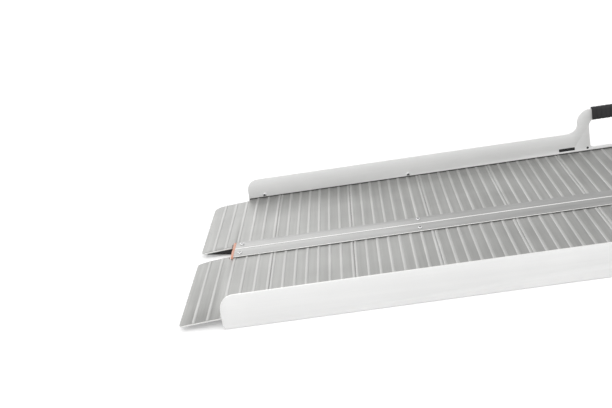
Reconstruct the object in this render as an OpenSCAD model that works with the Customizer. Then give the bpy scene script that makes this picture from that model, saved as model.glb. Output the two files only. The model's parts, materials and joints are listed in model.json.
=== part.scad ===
// Portable wheelchair ramp that folds lengthwise along its middle, underside to underside.
// X runs along the ramp with the low end at -X, Y runs across it, and Z is up from the floor.
// The near half lies at -Y and swings down under the far half, at +Y, on one long hinge pin.

/* [Deck] */
// Overall width over the outer faces of both rails
ramp_w = 704; // [520:1:900]
// Height of the walking surface above the floor
deck_z = 16; // [15:0.5:22]
// Length along the ramp of one standard cross plank
plank_l = 156; // [110:1:200]
// Length along the ramp of the middle plank
mid_plank_l = 250; // [230:1:320]
// Length along the ramp of each end plank, out to its tip
end_plank_l = 150; // [130:1:200]
// Thickness of a plank's top plate
plate_t = 2.8; // [2:0.1:3.4]
// Depth of a plank from its walking surface to the bottom of its legs
plank_depth = 5.5; // [4.5:0.1:6.5]
// Thickness of a plank's legs
leg_t = 2.5; // [1.5:0.1:4]
// Gap between neighbouring planks
joint_gap = 0.4; // [0.2:0.1:0.8]

/* [Tread ribs] */
// Width of one tread rib
rib_w = 3.3; // [2:0.1:5]
// Height of one tread rib
rib_h = 1; // [0.6:0.1:1.4]
// Distance from a plank's edge to its first rib
rib_inset = 3; // [2.6:0.1:6]
// Number of rib spacings on a standard plank
plank_pitches = 7; // [4:1:9]
// Number of rib spacings on the middle plank
mid_pitches = 10; // [6:1:14]
// Number of ribs on an end plank
end_ribs = 6; // [3:1:7]

/* [End planks] */
// Drop of an end plank's tip below the walking surface
tip_drop = 5; // [2:0.5:7]
// Distance from the end plank's outer edge to the outer face of the rail
tip_inset = 16; // [6:0.5:20]
// Distance from the fold line to the inner edge of a tip
notch_half = 27; // [16:1:36]
// Radius of the near tips' corner beside the fold line
tip_big_r = 42; // [20:1:54]
// Radius of the far tips' corner beside the rail
tip_mid_r = 22; // [10:1:54]
// Radius of each tip's other corner
tip_small_r = 8; // [3:1:16]
// Bevel along the upper edge of a tip
tip_bevel = 1; // [0.5:0.1:1.5]

/* [Side rails] */
// Thickness of a rail's upright web
rail_t = 4; // [3:0.1:6]
// Height of a rail above the walking surface
rail_up = 44.5; // [36:0.5:60]
// Depth of a rail below the walking surface
rail_down = 8; // [7:0.5:9]
// Length of a rail beyond the last standard plank
rail_past = 73; // [73:1:80]
// Radius of a rail's upper end corners
rail_top_r = 30; // [6:1:32]
// Radius of a rail's lower end corners
rail_low_r = 5; // [2:0.5:7]
// Width of the ledge that carries the plank ends
ledge_w = 16; // [10:1:24]

/* [Handles] */
// Half of the width of the raised handle
ear_half = 74; // [72:1:90]
// Height of the handle above the walking surface
ear_up = 95; // [90:1:130]
// Radius of the handle's upper corners
ear_r = 30; // [10:1:34]
// Radius of the sweep from the rail up into the handle
ear_sweep_r = 28; // [10:1:42]
// Half of the width of the hand opening
grip_half = 48.5; // [44:0.5:50]
// Height of the hand opening's lower edge above the walking surface
opening_up = 8.5; // [6:0.5:16]
// Depth of the bar over the hand opening
bar_d = 22; // [16:1:28]
// Upper corner radius of the hand opening
opening_r = 18; // [8:1:20]
// Lower corner radius of the hand opening
opening_low_r = 6; // [3:1:8]
// Thickness of the grip's rubber above and below the bar
grip_wall = 3.5; // [2:0.5:5]
// Width of the grip across the bar
grip_w = 15; // [12:1:20]
// Half of the length of the grip
grip_len_half = 40; // [30:1:42]

/* [Strap slots] */
// Distance from the ramp's middle to the centre of a strap slot
slot_x = 101; // [100:1:140]
// Length of a strap slot
slot_l = 35.5; // [20:0.5:44]
// Height of a strap slot
slot_h = 7; // [5:0.5:9]
// Height of the slot's centre above the walking surface
slot_up = 9.5; // [8:0.5:14]
// Distance from the ramp's middle to a tether hole
tether_x = 55; // [54.5:0.5:62]
// Radius of a tether hole
tether_r = 2.75; // [2:0.05:3.2]
// Height of a tether hole above the walking surface
tether_up = 7.5; // [7:0.5:12]

/* [Centre] */
// Gap between the two halves at the fold line
fold_gap = 0.6; // [0.4:0.1:1.2]
// Width of the near cover strip, from the fold line
near_strip_w = 40; // [38:1:60]
// Width of the far cover strip, from the fold line
far_strip_w = 47; // [40:1:60]
// Thickness of the far cover strip
far_strip_t = 1.6; // [1.2:0.1:2]
// Thickness of the near cover strip
near_strip_t = 2.8; // [2.6:0.1:3.4]
// Thickness of the lip that covers the fold line
lip_t = 0.8; // [0.6:0.1:0.8]
// Reach of the lip over the far half
lip_w = 6; // [2:0.5:8]
// Length of the strips beyond the last standard plank
strip_past = 79; // [76:1:100]
// Thickness of the top plate of a centre beam
beam_t = 2.5; // [2:0.1:2.8]
// Thickness of a centre beam's legs
beam_leg = 3; // [2:0.1:4]
// Thickness of the plastic end caps
cap_t = 5; // [2:0.5:6]
// Corner radius of the plastic end caps
cap_round = 1.2; // [0.5:0.1:2]

/* [Hinge] */
// Height of the hinge pin's axis above the floor
hinge_z = 6.5; // [6:0.1:6.8]
// Outer radius of the hinge knuckles
knuckle_r = 5; // [4:0.1:5]
// Radius of the hinge pin
pin_r = 2.5; // [1.5:0.1:3]
// Radial clearance of the pin in the knuckles
pin_fit = 0.05; // [0.02:0.01:0.09]
// Number of knuckles, taken by the halves in turn
knuckles = 14; // [6:2:24]
// Gap between neighbouring knuckles
knuckle_gap = 0.5; // [0.3:0.1:1]
// Thickness of the pin's heads
pin_head_t = 1.5; // [1:0.5:3]

/* [Rivets] */
// Radius of a rivet's shank
rivet_r = 2.4; // [1.5:0.1:3]
// Radius of a rivet's head
rivet_head_r = 4.5; // [3.5:0.1:6]
// Height of a rivet's head
rivet_head_t = 1.2; // [0.8:0.1:2]
// Distance from the ramp's middle to the first strip rivets
rivet_first = 60; // [20:1:100]
// Distance from a strip's end to its second rivets
rivet_second_in = 366; // [200:1:500]
// Distance from a strip's end to its last rivets
rivet_last_in = 12; // [10:1:40]
// Distance from a rail's end to its inner rivets
rail_rivet_second_in = 364; // [200:1:500]
// Distance from a rail's end to its outer rivets
rail_rivet_last_in = 36; // [20:1:60]
// Distance from the fold line to the near strip's rivets
near_rivet_y = 23; // [18:0.5:30]
// Distance from the fold line to the far strip's rivets
far_rivet_y = 33; // [20:0.5:36]
// Height of the rail rivets above the walking surface
rail_rivet_up = 6; // [6:0.5:16]

/* [Feet] */
// Distance from the fold line to the inner end of a foot
foot_y = 180; // [120:1:200]
// Distance from the rail's outer face to the outer end of a foot
foot_inset = 32; // [24:1:60]
// Distance from the last standard plank to the foot
foot_gap = 26; // [10:1:26]
// Length of a foot along the ramp
foot_l = 44; // [30:1:44]
// Length of the part of the foot's sole that lies flat
sole_l = 24; // [12:1:30]
// Slope of the rest of the sole, in degrees
sole_slope = 8; // [3:1:12]
// Depth of the grooves in the sole
groove_d = 1.5; // [0.5:0.5:2.5]

/* [Hidden] */
$fn = 48;
planks_per_end = 4;
hole_fit = 0.1;
head_taper = 1.3;
half_w = ramp_w / 2;
rail_in = half_w - rail_t;
rail_z = deck_z - rail_down;
rail_top = deck_z + rail_up;
ledge_z = deck_z - plank_depth;
plate_z = deck_z - plate_t;
ear_top = deck_z + ear_up;
end_x = mid_plank_l / 2 + planks_per_end * plank_l;
rail_end = end_x + rail_past;
strip_end = end_x + strip_past;
cap_end = strip_end + cap_t;
notch_start = strip_past + cap_t + 3;
rib_r = (rib_w * rib_w / 4 + rib_h * rib_h) / (2 * rib_h);
near_strip_z = deck_z + near_strip_t;
knuckle_l = 2 * strip_end / knuckles;
bore_r = pin_r + pin_fit;
beam_leg_y = knuckle_r + 0.8;
end_pitch = (mid_plank_l - 2 * rib_inset) / mid_pitches;
strip_rivets_at = [rivet_first, strip_end - rivet_second_in, strip_end - rivet_last_in];
rail_rivets_at = [rail_end - rail_rivet_second_in, rail_end - rail_rivet_last_in];
strip_rivet_xs = [for (s = [-1, 1], x = strip_rivets_at) s * x];
rail_rivet_xs = [for (s = [-1, 1], x = rail_rivets_at) s * x];
plank_color = [0.72, 0.73, 0.74];
rail_color = [0.88, 0.88, 0.89];
strip_color = [0.8, 0.8, 0.81];
steel_color = [0.6, 0.6, 0.62];
rubber_color = [0.12, 0.12, 0.12];
cap_color = [0.88, 0.55, 0.42];

// ---- Helpers -------------------------------------------------------------

// Sweeps an outline drawn in X and Z across the ramp, from y0 to y1.
module across(y0, y1) {
    translate([0, y1, 0]) rotate([90, 0, 0]) linear_extrude(y1 - y0) children();
}

// Sweeps an outline drawn in Y and Z along the ramp, from x0 to x1.
module along(x0, x1) {
    translate([x0, 0, 0]) rotate([90, 0, 90]) linear_extrude(x1 - x0) children();
}

// Draws a shape of the far half on the near half instead.
module on_near() {
    mirror([0, 1, 0]) children();
}

// Draws a shape of the top end at the low end instead.
module at_low_end() {
    mirror([1, 0, 0]) children();
}

// A rectangle from (x0, z0) to (x1, z1) with its upper and lower corners rounded.
module rounded_rect(x0, z0, x1, z1, top_r, low_r) {
    translate([x0 + low_r, z0]) square([x1 - x0 - 2 * low_r, low_r]);
    translate([x0, z0 + low_r]) square([x1 - x0, z1 - z0 - low_r - top_r]);
    translate([x0 + top_r, z1 - top_r]) square([x1 - x0 - 2 * top_r, top_r]);
    for (x = [x0 + low_r, x1 - low_r]) translate([x, z0 + low_r]) circle(low_r);
    for (x = [x0 + top_r, x1 - top_r]) translate([x, z1 - top_r]) circle(top_r);
}

// What is cut from a square corner at the origin, which points to -X and -Y, to round it.
module corner_waste(r) {
    difference() {
        translate([-1, -1]) square(r + 1);
        translate([r, r]) circle(r);
    }
}

// ---- Planks --------------------------------------------------------------

// One tread rib, whose rounded top stands rib_h above the height z.
module rib(x, z) {
    translate([x, z + rib_h - rib_r]) circle(rib_r);
}

// Cross-section of a flat plank of length l that starts at x = 0.
module plank_section(l, pitches) {
    first = joint_gap / 2;
    last = l - joint_gap / 2;
    pitch = (l - 2 * rib_inset) / pitches;
    translate([first, plate_z]) square([last - first, plate_t]);
    for (i = [0 : pitches]) rib(rib_inset + i * pitch, deck_z);
    for (x = [first, l / 2 - leg_t / 2, last - leg_t])
        translate([x, ledge_z]) square([leg_t, plank_depth - plate_t / 2]);
}

// A flat plank of the far half, from the cover strip's edge to the rail.
module flat_plank(x0, l, pitches, strip_w) {
    color(plank_color)
        translate([x0, 0, 0])
            across(strip_w, rail_in) plank_section(l, pitches);
}

// Where standard plank i starts. Planks 1 to 4 are at the low end, 5 to 8 at the top end.
function plank_x(i) = i <= planks_per_end
    ? -end_x + (i - 1) * plank_l
    : mid_plank_l / 2 + (i - 1 - planks_per_end) * plank_l;

// The part of an end plank beyond the rail slopes down to its tip.
function end_plank_z(u) = deck_z - tip_drop * max(0, u - rail_past) / (end_plank_l - rail_past);

// Cross-section of an end plank, with u = 0 where the standard planks end.
module end_plank_section() {
    first = joint_gap / 2;
    tip_z = end_plank_z(end_plank_l);
    polygon([
        [first, plate_z], [rail_past, plate_z], [end_plank_l, tip_z - plate_t],
        [end_plank_l, tip_z - tip_bevel], [end_plank_l - tip_bevel, end_plank_z(end_plank_l - tip_bevel)],
        [rail_past, deck_z], [first, deck_z]
    ]);
    for (i = [0 : end_ribs - 1]) {
        u = rib_inset + i * end_pitch;
        rib(u, end_plank_z(u));
    }
    for (x = [first, rail_past - leg_t])
        translate([x, ledge_z]) square([leg_t, plank_depth - plate_t / 2]);
}

// What is cut from an end plank in plan: its tip is narrower than its root and its corners are round.
module end_plank_waste(strip_w, fold_side_r, rail_side_r) {
    tip_out = half_w - tip_inset;
    translate([-1, notch_half - 1]) square([notch_start + 1, strip_w - notch_half + 1]);
    translate([rail_past, tip_out]) square([end_plank_l, tip_inset + 1]);
    translate([end_plank_l, notch_half]) mirror([1, 0]) corner_waste(fold_side_r);
    translate([end_plank_l, tip_out]) mirror([1, 0]) mirror([0, 1]) corner_waste(rail_side_r);
}

// An end plank of the far half at the top end.
module end_plank(strip_w, fold_side_r, rail_side_r) {
    color(plank_color)
        translate([end_x, 0, 0])
            difference() {
                across(notch_half, rail_in) end_plank_section();
                translate([0, 0, -1]) linear_extrude(rail_top)
                    end_plank_waste(strip_w, fold_side_r, rail_side_r);
            }
}

module far_low_end_plank() { at_low_end() end_plank(far_strip_w, tip_small_r, tip_mid_r); }
module far_top_end_plank() { end_plank(far_strip_w, tip_small_r, tip_mid_r); }
module near_low_end_plank() { at_low_end() on_near() end_plank(near_strip_w, tip_big_r, tip_small_r); }
module near_top_end_plank() { on_near() end_plank(near_strip_w, tip_big_r, tip_small_r); }

module far_plank(i) { flat_plank(plank_x(i), plank_l, plank_pitches, far_strip_w); }
module near_plank(i) { on_near() flat_plank(plank_x(i), plank_l, plank_pitches, near_strip_w); }
module far_middle_plank() { flat_plank(-mid_plank_l / 2, mid_plank_l, mid_pitches, far_strip_w); }
module near_middle_plank() { on_near() flat_plank(-mid_plank_l / 2, mid_plank_l, mid_pitches, near_strip_w); }

// ---- Rails ---------------------------------------------------------------

// Outline of a rail's web with its raised handle, before any hole.
module web_outline() {
    rounded_rect(-rail_end, rail_z, rail_end, rail_top, rail_top_r, rail_low_r);
    rounded_rect(-ear_half, rail_z + rail_low_r, ear_half, ear_top, ear_r, rail_low_r);
    for (s = [0, 1]) mirror([s, 0]) translate([ear_half, rail_top]) difference() {
        translate([-1, -1]) square(ear_sweep_r + 1);
        translate([ear_sweep_r, ear_sweep_r]) circle(ear_sweep_r);
    }
}

// The hand opening, which leaves a bar across the top of the handle.
module hand_opening() {
    rounded_rect(-grip_half, deck_z + opening_up, grip_half, ear_top - bar_d, opening_r, opening_low_r);
}

// A strap slot with round ends, centred on the origin.
module strap_slot() {
    run = slot_l - slot_h;
    translate([-run / 2, -slot_h / 2]) square([run, slot_h]);
    for (x = [-run / 2, run / 2]) translate([x, 0]) circle(slot_h / 2);
}

module rail_web() {
    difference() {
        across(rail_in, half_w) difference() {
            web_outline();
            hand_opening();
            for (s = [-1, 1]) translate([s * slot_x, deck_z + slot_up]) strap_slot();
        }
        for (s = [-1, 1]) translate([s * tether_x, rail_in - 1, deck_z + tether_up])
            rotate([-90, 0, 0]) cylinder(h = rail_t + 2, r = tether_r);
        for (x = rail_rivet_xs) translate([x, rail_in - 1, deck_z + rail_rivet_up])
            rotate([-90, 0, 0]) cylinder(h = rail_t + 2, r = rivet_r + hole_fit);
    }
}

// A rail of the far half: the web, and the ledge that carries the planks.
module rail() {
    color(rail_color) {
        rail_web();
        ledge_end = rail_end - rail_low_r;
        translate([-ledge_end, rail_in - ledge_w, rail_z])
            cube([2 * ledge_end, ledge_w + rail_t / 2, ledge_z - rail_z]);
    }
}

// The rubber sleeve on the bar of a handle.
module grip() {
    y0 = half_w - (rail_t + grip_w) / 2;
    z0 = ear_top - bar_d - grip_wall;
    round_r = grip_w / 2 - 1;
    color(rubber_color)
        difference() {
            along(-grip_len_half, grip_len_half)
                rounded_rect(y0, z0, y0 + grip_w, ear_top + grip_wall, round_r, round_r);
            across(rail_in, half_w) difference() {
                web_outline();
                hand_opening();
            }
        }
}

module far_rail() { rail(); }
module near_rail() { on_near() rail(); }
module far_grip() { grip(); }
module near_grip() { on_near() grip(); }

// ---- Centre beams and cover strips ---------------------------------------

// A centre beam of the far half, open underneath, with a ledge for the planks' inner ends.
module centre_beam(strip_w, rivet_y) {
    in_y = fold_gap / 2;
    color(plank_color)
        difference() {
            along(-strip_end, strip_end) {
                translate([in_y, deck_z - beam_t]) square([strip_w - in_y, beam_t]);
                translate([beam_leg_y, rail_z]) square([beam_leg, rail_down - beam_t / 2]);
                translate([strip_w - beam_leg, rail_z]) square([beam_leg, rail_down]);
                translate([strip_w - beam_leg, rail_z]) square([beam_leg + ledge_w, ledge_z - rail_z]);
            }
            for (x = strip_rivet_xs) translate([x, rivet_y, deck_z - beam_t - 1])
                cylinder(h = beam_t + 2, r = rivet_r + hole_fit);
        }
}

// Rivet holes through a cover strip.
module strip_holes(rivet_y) {
    for (x = strip_rivet_xs) translate([x, rivet_y, deck_z - 1])
        cylinder(h = near_strip_t + 2, r = rivet_r + hole_fit);
}

module far_centre_beam() { centre_beam(far_strip_w, far_rivet_y); }
module near_centre_beam() { on_near() centre_beam(near_strip_w, near_rivet_y); }

module far_centre_strip() {
    in_y = fold_gap / 2;
    color(strip_color)
        difference() {
            along(-strip_end, strip_end)
                translate([in_y, deck_z]) square([far_strip_w - in_y, far_strip_t]);
            strip_holes(far_rivet_y);
        }
}

// The near strip is thicker, and its lip reaches over the fold line.
module near_centre_strip() {
    in_y = fold_gap / 2;
    color(strip_color)
        difference() {
            along(-strip_end, strip_end) {
                translate([-near_strip_w, deck_z]) square([near_strip_w - in_y, near_strip_t]);
                translate([-in_y - 1, near_strip_z - lip_t]) square([in_y + 1 + lip_w, lip_t]);
            }
            strip_holes(-near_rivet_y);
        }
}

// A plastic cap on the end of a centre beam of the far half, at the top end.
module end_cap(strip_w, strip_t) {
    in_y = fold_gap / 2 + 0.1;
    color(cap_color)
        along(strip_end, cap_end) difference() {
            rounded_rect(in_y, rail_z, strip_w, deck_z + strip_t, cap_round, cap_round);
            translate([0, hinge_z]) circle(knuckle_r + knuckle_gap);
        }
}

module far_low_cap() { at_low_end() end_cap(far_strip_w, far_strip_t); }
module far_top_cap() { end_cap(far_strip_w, far_strip_t); }
module near_low_cap() { at_low_end() on_near() end_cap(near_strip_w, near_strip_t); }
module near_top_cap() { on_near() end_cap(near_strip_w, near_strip_t); }

// ---- Hinge ---------------------------------------------------------------

// The knuckles of the far half, taking every second place from the first one given.
module knuckle_row(first) {
    color(steel_color)
        for (i = [first : 2 : knuckles - 1]) {
            x0 = -strip_end + i * knuckle_l + knuckle_gap / 2;
            x1 = x0 + knuckle_l - knuckle_gap;
            difference() {
                union() {
                    along(x0, x1) translate([0, hinge_z]) circle(knuckle_r);
                    along(x0, x1) translate([fold_gap / 2, hinge_z])
                        square([beam_leg_y - fold_gap / 2, deck_z - beam_t - hinge_z]);
                }
                along(x0 - 1, x1 + 1) translate([0, hinge_z]) circle(bore_r);
            }
        }
}

module far_hinge_knuckles() { knuckle_row(0); }
module near_hinge_knuckles() { on_near() knuckle_row(1); }

// One long pin, with a head at each end that keeps it in the knuckles.
module hinge_pin() {
    color(steel_color) {
        along(-strip_end, strip_end) translate([0, hinge_z]) circle(pin_r);
        for (x = [-strip_end - pin_head_t, strip_end])
            along(x, x + pin_head_t) translate([0, hinge_z]) circle(knuckle_r - 0.5);
    }
}

// ---- Feet ----------------------------------------------------------------

// A rubber foot of the far half, at the top end. Its sole slopes up towards the tip.
module foot() {
    x0 = end_x + foot_gap;
    rise = (foot_l - sole_l) * tan(sole_slope);
    color(rubber_color)
        across(foot_y, half_w - foot_inset) difference() {
            polygon([
                [x0, 0], [x0 + sole_l, 0], [x0 + foot_l, rise],
                [x0 + foot_l, plate_z], [x0, plate_z]
            ]);
            for (g = [1 : 2]) translate([x0 + g * sole_l / 3 - 1, -1]) square([2, groove_d + 1]);
        }
}

module far_low_foot() { at_low_end() foot(); }
module far_top_foot() { foot(); }
module near_low_foot() { at_low_end() on_near() foot(); }
module near_top_foot() { on_near() foot(); }

// ---- Rivets --------------------------------------------------------------

// A rivet along +Z whose head sits on the height 0 and whose shank runs down.
module rivet(shank_l) {
    cylinder(h = rivet_head_t, r1 = rivet_head_r, r2 = rivet_head_r - head_taper);
    translate([0, 0, -shank_l]) cylinder(h = shank_l + rivet_head_t / 2, r = rivet_r);
}

module strip_rivets(y, strip_t) {
    color(steel_color)
        for (x = strip_rivet_xs)
            translate([x, y, deck_z + strip_t]) rivet(strip_t + beam_t);
}

// The rail rivets have their heads on the inner face of the rail.
module rail_rivets() {
    color(steel_color)
        for (x = rail_rivet_xs)
            translate([x, rail_in, deck_z + rail_rivet_up]) rotate([90, 0, 0]) rivet(rail_t);
}

module far_strip_rivets() { strip_rivets(far_rivet_y, far_strip_t); }
module near_strip_rivets() { strip_rivets(-near_rivet_y, near_strip_t); }
module far_rail_rivets() { rail_rivets(); }
module near_rail_rivets() { on_near() rail_rivets(); }

// ---- Nodes ---------------------------------------------------------------

far_low_end_plank();
far_plank(1);  // far_plank_1
far_plank(2);  // far_plank_2
far_plank(3);  // far_plank_3
far_plank(4);  // far_plank_4
far_middle_plank();
far_plank(5);  // far_plank_5
far_plank(6);  // far_plank_6
far_plank(7);  // far_plank_7
far_plank(8);  // far_plank_8
far_top_end_plank();
far_rail();
far_centre_beam();
far_centre_strip();
far_hinge_knuckles();
hinge_pin();
far_low_cap();
far_top_cap();
far_low_foot();
far_top_foot();
far_grip();
far_strip_rivets();
far_rail_rivets();
near_low_end_plank();
near_plank(1);  // near_plank_1
near_plank(2);  // near_plank_2
near_plank(3);  // near_plank_3
near_plank(4);  // near_plank_4
near_middle_plank();
near_plank(5);  // near_plank_5
near_plank(6);  // near_plank_6
near_plank(7);  // near_plank_7
near_plank(8);  // near_plank_8
near_top_end_plank();
near_rail();
near_centre_beam();
near_centre_strip();
near_hinge_knuckles();
near_low_cap();
near_top_cap();
near_low_foot();
near_top_foot();
near_grip();
near_strip_rivets();
near_rail_rivets();
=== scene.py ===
# %% [markdown]
# # A folding wheelchair ramp, finished in Blender
# The ramp is an aluminium walkway that folds lengthwise like a book. Its working parts come from the CAD
# model: the frame below is loaded first, and nothing in it is moved. Each piece that shows is then made
# again with its real edges, ribs and finish, in the very place where the CAD piece was.

# %% Load the frame
import json
import math
from contextlib import contextmanager

import bmesh
import bpy
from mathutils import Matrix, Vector

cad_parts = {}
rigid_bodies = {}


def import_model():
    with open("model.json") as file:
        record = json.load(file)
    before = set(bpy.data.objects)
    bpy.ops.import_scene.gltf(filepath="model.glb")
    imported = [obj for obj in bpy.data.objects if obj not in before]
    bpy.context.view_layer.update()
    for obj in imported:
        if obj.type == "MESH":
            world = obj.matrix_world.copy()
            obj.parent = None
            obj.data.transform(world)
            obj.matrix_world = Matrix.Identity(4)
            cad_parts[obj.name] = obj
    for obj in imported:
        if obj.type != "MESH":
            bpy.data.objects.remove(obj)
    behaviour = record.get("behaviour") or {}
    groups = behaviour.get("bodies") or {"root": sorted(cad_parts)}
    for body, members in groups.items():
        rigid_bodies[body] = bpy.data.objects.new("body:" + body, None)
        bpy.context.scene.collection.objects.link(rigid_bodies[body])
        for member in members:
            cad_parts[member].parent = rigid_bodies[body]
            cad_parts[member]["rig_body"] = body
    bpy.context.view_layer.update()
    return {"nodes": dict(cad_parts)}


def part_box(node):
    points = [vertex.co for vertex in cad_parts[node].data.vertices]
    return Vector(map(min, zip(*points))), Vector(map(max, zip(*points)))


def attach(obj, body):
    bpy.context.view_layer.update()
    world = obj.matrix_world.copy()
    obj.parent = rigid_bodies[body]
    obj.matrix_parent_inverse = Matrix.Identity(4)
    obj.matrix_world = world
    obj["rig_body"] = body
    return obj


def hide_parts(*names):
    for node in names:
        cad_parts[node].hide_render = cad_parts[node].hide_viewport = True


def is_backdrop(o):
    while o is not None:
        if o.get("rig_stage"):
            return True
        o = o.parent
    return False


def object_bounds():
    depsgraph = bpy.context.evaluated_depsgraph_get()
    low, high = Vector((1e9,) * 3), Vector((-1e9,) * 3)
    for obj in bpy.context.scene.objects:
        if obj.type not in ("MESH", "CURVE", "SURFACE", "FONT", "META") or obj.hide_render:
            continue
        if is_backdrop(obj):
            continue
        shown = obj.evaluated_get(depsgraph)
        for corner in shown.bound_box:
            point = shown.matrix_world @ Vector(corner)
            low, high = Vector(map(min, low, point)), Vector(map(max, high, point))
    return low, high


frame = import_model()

MM = 0.001

# %% [markdown]
# ## The camera
# The ramp is seen from in front of its near rail and towards its low end, from about the height of a
# table, with the camera tilted to one side. A longish lens keeps the far rail nearly as long as the near
# one. The camera comes first, so that every later choice can be looked at through it.

# %% Camera
bpy.ops.object.camera_add(location=(-0.5446, -2.0529, 0.7136))
camera = bpy.context.object
camera.rotation_euler = [math.radians(angle) for angle in (72.979, 8.777, 0.942)]
camera.data.lens = 65.0
camera.data.sensor_width = 36
camera.data.clip_end = 60
bpy.context.scene.camera = camera
print("camera", [round(v, 3) for v in camera.location], "lens", camera.data.lens)

# %% [markdown]
# ## Floor and light
# A plain pale floor and large soft lamps suit bare metal: the lamps are what the metal mirrors. The world
# looks white to the camera and to the metal, but it lights the ramp only at a plain level, which the
# Light Path node makes possible. The main lamp stands low in front, so upright faces come out a little
# brighter than the deck.

# %% Light
WORLD_LIGHT = 0.62


def area_lamp(name, place, target, size, watts):
    """A large square lamp at a place, turned towards a target."""
    bpy.ops.object.light_add(type="AREA", location=place)
    lamp = bpy.context.object
    lamp.name = name
    lamp.data.size = size
    lamp.data.energy = watts
    aim = Vector(target) - Vector(place)
    lamp.rotation_euler = aim.to_track_quat("-Z", "Y").to_euler()
    print("lamp", name, watts, "W")


area_lamp("key_lamp", (-1.6, -3.6, 2.2), (0, 0, 0), 4.0, 82)
area_lamp("fill_lamp", (2.8, -1.6, 2.6), (0, 0, 0), 2.4, 32)
area_lamp("back_lamp", (-2.0, 3.0, 1.7), (-0.8, 0, 0), 3.0, 34)
bpy.context.scene.view_settings.view_transform = "Standard"

# %% [markdown]
# ## Shader maths
# A finish is a small sum of patterns. Written with nodes, a sum is a tangle of wires, so this class wraps
# a socket and lets Python's own signs add the Math nodes. Every other node comes from one method, which
# takes the node's type, its settings and the values or links of its sockets.


# %% A socket that does sums
class Signal:
    """An output socket in one node tree. A sign between it and another, or a number, adds a Math node."""

    def __init__(self, tree, socket):
        self.tree = tree
        self.socket = socket

    def _math(self, operation, first, second):
        sockets = {0: first, 1: second}
        return make_node(self.tree, "ShaderNodeMath", {"operation": operation}, sockets)["Value"]

    def __add__(self, other):
        return self._math("ADD", self, other)

    def __sub__(self, other):
        return self._math("SUBTRACT", self, other)

    def __rsub__(self, other):
        return self._math("SUBTRACT", other, self)

    def __mul__(self, other):
        return self._math("MULTIPLY", self, other)

    def __gt__(self, other):
        return self._math("GREATER_THAN", self, other)

    __radd__ = __add__
    __rmul__ = __mul__


# %% One method for every other node
class Outputs:
    """The outputs of one node, by name."""

    def __init__(self, tree, node):
        self.tree = tree
        self.node = node

    def __getitem__(self, name):
        return Signal(self.tree, self.node.outputs[name])


def make_node(tree, kind, settings=None, sockets=None):
    """A node of a kind, with its settings, and its sockets set to values or linked to signals."""
    node = tree.nodes.new(kind)
    for name, value in (settings or {}).items():
        setattr(node, name, value)
    for name, value in (sockets or {}).items():
        if isinstance(value, Signal):
            tree.links.new(value.socket, node.inputs[name])
        else:
            node.inputs[name].default_value = value
    return Outputs(tree, node)


def feed(tree, shader, socket, signal):
    """Links a signal to one socket of a shader."""
    tree.links.new(signal.socket, shader.inputs[socket])


# %% [markdown]
# ## The backdrop
# The floor keeps the ramp's shadow. A wide floor looks greyer with distance, so where the camera sees it,
# it glows a little towards white, and more so further away. Only the camera sees that glow: it leaves the
# light on the ramp alone.

# %% World and floor
WHITE = (1, 1, 1, 1)
FLOOR_COLOUR = (0.94, 0.94, 0.94)
FLOOR_LIFT = 0.18
FLOOR_LIFT_PER_M = 0.12
FLOOR_SIZE = 60

world = bpy.data.worlds.new("pale_world")
world.use_nodes = True
bpy.context.scene.world = world
world.node_tree.nodes.clear()
ray = make_node(world.node_tree, "ShaderNodeLightPath")
seen = ray["Is Camera Ray"] + ray["Is Glossy Ray"] + ray["Is Transmission Ray"]
strength = WORLD_LIGHT + (seen > 0.5) * (1 - WORLD_LIGHT)
sky = make_node(world.node_tree, "ShaderNodeBackground", sockets={"Color": WHITE, "Strength": strength})
make_node(world.node_tree, "ShaderNodeOutputWorld", sockets={"Surface": sky["Background"]})

bpy.ops.mesh.primitive_plane_add(size=FLOOR_SIZE, location=(0, 0, 0))
floor = bpy.context.object
floor.name = "floor"
floor_paint = bpy.data.materials.new("floor_paint")
floor_paint.use_nodes = True
tree = floor_paint.node_tree
paint = tree.nodes["Principled BSDF"]
paint.inputs["Base Color"].default_value = (*FLOOR_COLOUR, 1)
paint.inputs["Roughness"].default_value = 0.9
paint.inputs["Specular IOR Level"].default_value = 0.1
paint.inputs["Emission Strength"].default_value = 1
path = make_node(tree, "ShaderNodeLightPath")
spot = make_node(tree, "ShaderNodeTexCoord")["Object"]
away = make_node(tree, "ShaderNodeVectorMath", {"operation": "LENGTH"}, {0: spot})["Value"]
feed(tree, paint, "Emission Color", path["Is Camera Ray"] * (FLOOR_LIFT + away * FLOOR_LIFT_PER_M))
floor.data.materials.append(floor_paint)
floor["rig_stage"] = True
print("floor", FLOOR_SIZE, "m, lifted by", FLOOR_LIFT, "and", FLOOR_LIFT_PER_M, "more each metre")

# %% [markdown]
# ## Finishes
# The deck and the rails are bare aluminium, drawn through a die. That leaves two marks: long hairlines
# that run with the drawing, and a fine grain. So each metal is made from the same four noises: fine hairs
# and wider streaks, both stretched the way the piece was drawn, even specks for the grain, and a large
# drift for the slow changes of tone. The patterns read Object coordinates, and each piece sits at the
# origin, so no two planks are alike.


# %% Noise, tint and an empty finish
def noise(tree, scale, stretch, detail):
    """Noise in object space: a scale per metre, a stretch along X, Y and Z, and an amount of detail."""
    place = make_node(tree, "ShaderNodeTexCoord")["Object"]
    bent = make_node(
        tree, "ShaderNodeMapping", {"vector_type": "POINT"}, {"Vector": place, "Scale": stretch}
    )["Vector"]
    found = make_node(
        tree, "ShaderNodeTexNoise", sockets={"Vector": bent, "Scale": scale, "Detail": detail}
    )
    return found["Fac"]


def tint(tree, low, high, amount):
    """A colour between two others, by an amount from 0 to 1."""
    mixed = make_node(
        tree, "ShaderNodeMix", {"data_type": "RGBA"}, {"Factor": amount, 6: (*low, 1), 7: (*high, 1)}
    )
    return Signal(tree, mixed.node.outputs[2])


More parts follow.
